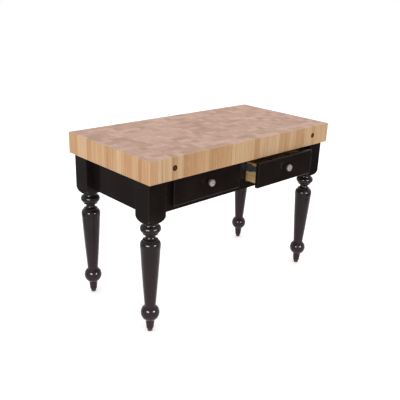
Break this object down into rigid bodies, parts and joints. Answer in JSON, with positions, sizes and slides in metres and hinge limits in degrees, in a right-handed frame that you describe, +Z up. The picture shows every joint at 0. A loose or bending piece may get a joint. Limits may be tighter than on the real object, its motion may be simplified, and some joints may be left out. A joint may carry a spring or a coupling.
{
  "type": "butcher block table",
  "caption": "Kitchen work table: thick end-grain maple block on a black painted base with turned legs and drawers.",
  "frame": {"origin": "on the floor under the middle of the worktop", "axes": "+X along the long side, to the right as seen from the drawers' side; +Y to the back; +Z up"},
  "size_m": [1.2192, 0.6726, 0.8382],
  "materials": {
    "end_grain_maple": "oiled end grain",
    "walnut": "oiled",
    "black_paint": "semi-gloss black enamel",
    "bare_maple": "planed, unfinished",
    "drawer_maple": "clear lacquer",
    "drawer_plywood": "clear lacquer",
    "satin_nickel": "satin nickel",
    "zinc_steel": "zinc plated",
    "clear_bumper": "soft clear",
    "glide_plastic": "moulded grey"
  },
  "bodies": {
    "base": {"back_apron": "black_paint", "butcher_block": "end_grain_maple", "centre_stile": "black_paint", "cleat_screws": "zinc_steel", "foot_glides": "glide_plastic", "front_bottom_rail": "black_paint", "front_stile_left": "black_paint", "front_stile_right": "black_paint", "front_top_rail": "black_paint", "leg_back_left": "black_paint", "leg_back_right": "black_paint", "leg_front_left": "black_paint", "leg_front_right": "black_paint", "side_apron_left": "black_paint", "side_apron_right": "black_paint", "slide_board_inner_left": "bare_maple", "slide_board_inner_right": "bare_maple", "slide_board_outer_left": "bare_maple", "slide_board_outer_right": "bare_maple", "slide_cabinet_members": "zinc_steel", "slide_cabinet_screws": "zinc_steel", "tie_rod_nuts": "zinc_steel", "tie_rod_washers": "zinc_steel", "tie_rods": "zinc_steel", "top_cleat_back": "bare_maple", "top_cleat_left": "bare_maple", "top_cleat_right": "bare_maple", "top_lag_screws": "zinc_steel", "top_lag_washers": "zinc_steel", "walnut_plugs": "walnut"},
    "drawer_left": {"drawer_front_left": "black_paint", "drawer_box_front_left": "drawer_maple", "drawer_back_left": "drawer_maple", "drawer_side_outer_left": "drawer_maple", "drawer_side_inner_left": "drawer_maple", "drawer_bottom_left": "drawer_plywood", "drawer_bumpers_left": "clear_bumper", "drawer_front_screws_left": "zinc_steel", "knob_left": "satin_nickel", "knob_screw_left": "zinc_steel", "slide_drawer_members_left": "zinc_steel", "slide_drawer_screws_left": "zinc_steel"},
    "slide_middles_left": {"slide_middle_members_left": "zinc_steel"},
    "outer_cages_left": {"slide_outer_cages_left": "zinc_steel"},
    "inner_cages_left": {"slide_inner_cages_left": "zinc_steel"},
    "drawer_right": {"drawer_front_right": "black_paint", "drawer_box_front_right": "drawer_maple", "drawer_back_right": "drawer_maple", "drawer_side_outer_right": "drawer_maple", "drawer_side_inner_right": "drawer_maple", "drawer_bottom_right": "drawer_plywood", "drawer_bumpers_right": "clear_bumper", "drawer_front_screws_right": "zinc_steel", "knob_right": "satin_nickel", "knob_screw_right": "zinc_steel", "slide_drawer_members_right": "zinc_steel", "slide_drawer_screws_right": "zinc_steel"},
    "slide_middles_right": {"slide_middle_members_right": "zinc_steel"},
    "outer_cages_right": {"slide_outer_cages_right": "zinc_steel"},
    "inner_cages_right": {"slide_inner_cages_right": "zinc_steel"}
  },
  "joints": [
    {"name": "drawer_slide_left", "type": "slide", "parent": "base", "child": "drawer_left", "axis": [0, -1, 0], "range_m": [0, 0.3766]},
    {"name": "slide_middle_travel_left", "type": "slide", "parent": "base", "child": "slide_middles_left", "axis": [0, -1, 0], "range_m": [0, 0.1888]},
    {"name": "outer_cage_travel_left", "type": "slide", "parent": "base", "child": "outer_cages_left", "axis": [0, -1, 0], "range_m": [0, 0.09465]},
    {"name": "inner_cage_travel_left", "type": "slide", "parent": "base", "child": "inner_cages_left", "axis": [0, -1, 0], "range_m": [0, 0.28295]},
    {"name": "drawer_slide_right", "type": "slide", "parent": "base", "child": "drawer_right", "axis": [0, -1, 0], "range_m": [-0.07, 0.3066]},
    {"name": "slide_middle_travel_right", "type": "slide", "parent": "base", "child": "slide_middles_right", "axis": [0, -1, 0], "range_m": [-0.0355, 0.1538]},
    {"name": "outer_cage_travel_right", "type": "slide", "parent": "base", "child": "outer_cages_right", "axis": [0, -1, 0], "range_m": [-0.018, 0.07715]},
    {"name": "inner_cage_travel_right", "type": "slide", "parent": "base", "child": "inner_cages_right", "axis": [0, -1, 0], "range_m": [-0.053, 0.23045]}
  ],
  "couplings": [
    {"joint": "slide_middle_travel_left", "follows": "drawer_slide_left", "ratio": 0.5},
    {"joint": "outer_cage_travel_left", "follows": "drawer_slide_left", "ratio": 0.25},
    {"joint": "inner_cage_travel_left", "follows": "drawer_slide_left", "ratio": 0.75},
    {"joint": "slide_middle_travel_right", "follows": "drawer_slide_right", "ratio": 0.5},
    {"joint": "outer_cage_travel_right", "follows": "drawer_slide_right", "ratio": 0.25},
    {"joint": "inner_cage_travel_right", "follows": "drawer_slide_right", "ratio": 0.75}
  ]
}
